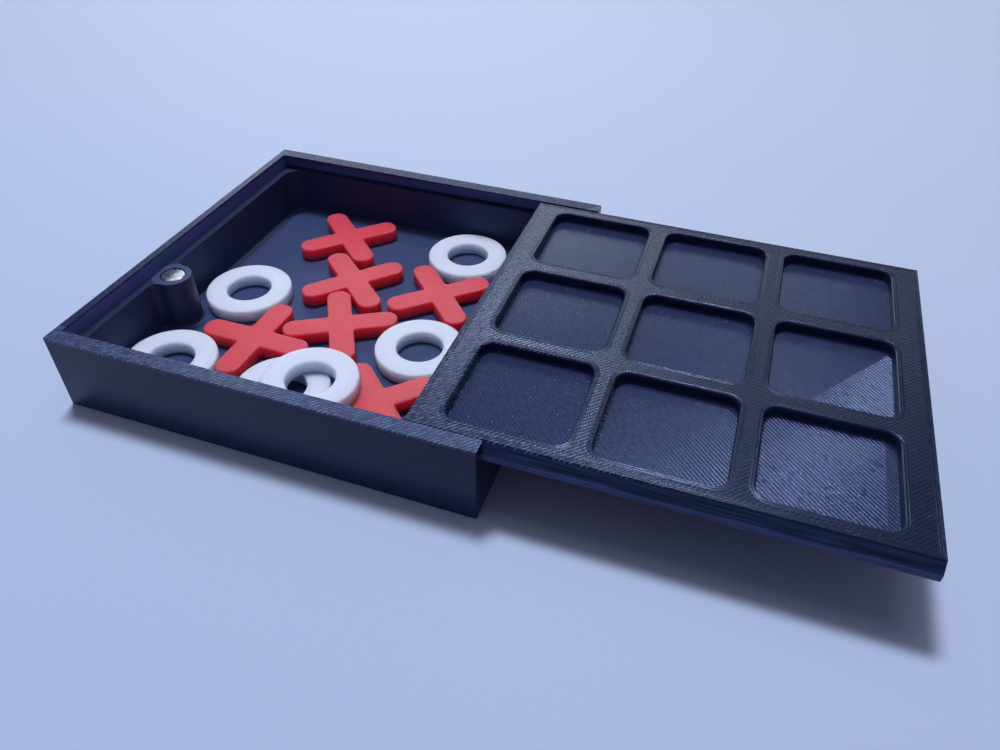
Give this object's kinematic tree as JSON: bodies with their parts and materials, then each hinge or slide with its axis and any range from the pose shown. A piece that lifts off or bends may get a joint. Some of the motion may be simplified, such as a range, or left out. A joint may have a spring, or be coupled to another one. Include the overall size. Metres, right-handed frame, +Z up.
{
  "type": "tic-tac-toe board",
  "caption": "Square travel box with loose crosses and rings inside; its lid is the game board, with nine square cells, and slides out along dovetail grooves to a magnet latch.",
  "frame": {"origin": "centre of the tray's underside, on the surface that the box stands on", "axes": "+Z up; +X the way the lid slides out, away from the magnet post; +Y across the slide"},
  "size_m": [0.1814, 0.1, 0.0192],
  "materials": {
    "case_print": "dark blue-black printed plastic, satin, with fine print lines",
    "cross_print": "coral red printed plastic, satin",
    "ring_print": "white printed plastic, satin",
    "magnet_nickel": "bright nickel plating"
  },
  "bodies": {
    "tray": {"tray": "case_print", "tray_magnet": "magnet_nickel"},
    "lid": {"lid_board": "case_print", "lid_magnet": "magnet_nickel"},
    "x_piece_1": {"x_piece_1": "cross_print"},
    "x_piece_2": {"x_piece_2": "cross_print"},
    "x_piece_3": {"x_piece_3": "cross_print"},
    "x_piece_4": {"x_piece_4": "cross_print"},
    "x_piece_5": {"x_piece_5": "cross_print"},
    "x_piece_6": {"x_piece_6": "cross_print"},
    "o_piece_1": {"o_piece_1": "ring_print"},
    "o_piece_2": {"o_piece_2": "ring_print"},
    "o_piece_3": {"o_piece_3": "ring_print"},
    "o_piece_4": {"o_piece_4": "ring_print"},
    "o_piece_5": {"o_piece_5": "ring_print"},
    "o_piece_6": {"o_piece_6": "ring_print"}
  },
  "joints": [
    {"name": "lid_slide", "type": "slide", "parent": "tray", "child": "lid", "axis": [1, 0, 0], "range_m": [-0.0814, 0.02]},
    {"name": "x_piece_1_lift", "type": "slide", "parent": "tray", "child": "x_piece_1", "axis": [0, 0, 1], "range_m": [0, 0.024]},
    {"name": "x_piece_2_lift", "type": "slide", "parent": "tray", "child": "x_piece_2", "axis": [0, 0, 1], "range_m": [0, 0.024]},
    {"name": "x_piece_3_lift", "type": "slide", "parent": "tray", "child": "x_piece_3", "axis": [0, 0, 1], "range_m": [0, 0.024]},
    {"name": "x_piece_4_lift", "type": "slide", "parent": "tray", "child": "x_piece_4", "axis": [0, 0, 1], "range_m": [0, 0.024]},
    {"name": "x_piece_5_lift", "type": "slide", "parent": "tray", "child": "x_piece_5", "axis": [0, 0, 1], "range_m": [0, 0.024]},
    {"name": "x_piece_6_lift", "type": "slide", "parent": "tray", "child": "x_piece_6", "axis": [0, 0, 1], "range_m": [0, 0.024]},
    {"name": "o_piece_1_lift", "type": "slide", "parent": "tray", "child": "o_piece_1", "axis": [0, 0, 1], "range_m": [0, 0.024]},
    {"name": "o_piece_2_lift", "type": "slide", "parent": "tray", "child": "o_piece_2", "axis": [0, 0, 1], "range_m": [0, 0.024]},
    {"name": "o_piece_3_lift", "type": "slide", "parent": "tray", "child": "o_piece_3", "axis": [0, 0, 1], "range_m": [0, 0.024]},
    {"name": "o_piece_4_lift", "type": "slide", "parent": "tray", "child": "o_piece_4", "axis": [0, 0, 1], "range_m": [0, 0.024]},
    {"name": "o_piece_5_lift", "type": "slide", "parent": "o_piece_6", "child": "o_piece_5", "axis": [0, 0, 1], "range_m": [0, 0.024]},
    {"name": "o_piece_6_lift", "type": "slide", "parent": "x_piece_6", "child": "o_piece_6", "axis": [0, 0, 1], "range_m": [0, 0.024]}
  ]
}
